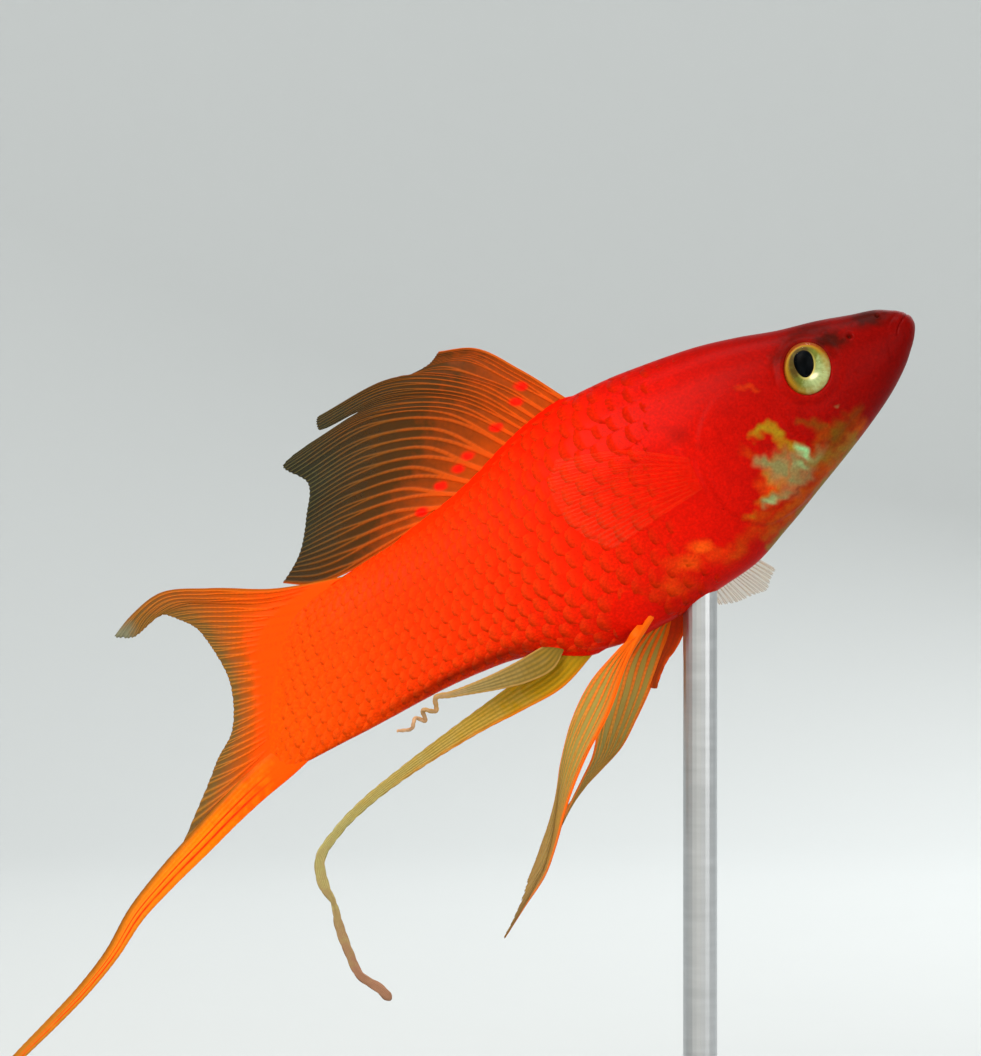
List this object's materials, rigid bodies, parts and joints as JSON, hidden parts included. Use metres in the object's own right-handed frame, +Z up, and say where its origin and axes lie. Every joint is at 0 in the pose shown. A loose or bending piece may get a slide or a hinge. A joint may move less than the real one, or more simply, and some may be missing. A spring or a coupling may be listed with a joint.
{
  "type": "swordtail fish model",
  "caption": "Life-size male lyretail swordtail fish with a high back fin and long trailing fins, held nose-up on a plain rod and flat base.",
  "frame": {"origin": "centre of the underside of the stand's base, which stands on z = 0", "axes": "+X the way the fish faces, along the base; +Y to the fish's left flank; +Z up"},
  "size_m": [0.1, 0.046, 0.0871],
  "materials": {
    "flesh_head": "moist deep red skin",
    "flesh_body": "scaled orange-red skin",
    "eye": "clear domed eye over a pale iris",
    "fin_dorsal": "thin olive-orange fin skin over rays",
    "fin_tail": "thin orange fin skin over rays",
    "sword": "orange fin skin over closely set rays",
    "fin_pale": "thin khaki fin skin",
    "fin_pelvic": "orange rays with pale thin skin",
    "fin_clear": "nearly clear fin skin",
    "stand_board": "plain matt black",
    "stand_metal": "plain round steel"
  },
  "bodies": {
    "root": {"head": "flesh_head", "lower_jaw": "flesh_head", "gill_cover_left": "flesh_body", "gill_cover_right": "flesh_body", "trunk_front": "flesh_body", "trunk_rear": "flesh_body", "tail_stalk": "flesh_body", "eye_left": "eye", "eye_right": "eye", "dorsal_fin": "fin_dorsal", "tail_fin_upper": "fin_tail", "tail_fin_lower": "fin_tail", "sword_root": "sword", "sword_tip": "sword", "anal_fin": "fin_pale", "anal_streamer_front": "fin_pale", "anal_streamer_end": "fin_pale", "anal_branch": "fin_pale", "pelvic_fin_right": "fin_pelvic", "pelvic_fin_left": "fin_pelvic", "pectoral_fin_right": "fin_clear", "pectoral_fin_left": "fin_clear", "stand_base": "stand_board", "stand_rod": "stand_metal"}
  },
  "joints": []
}
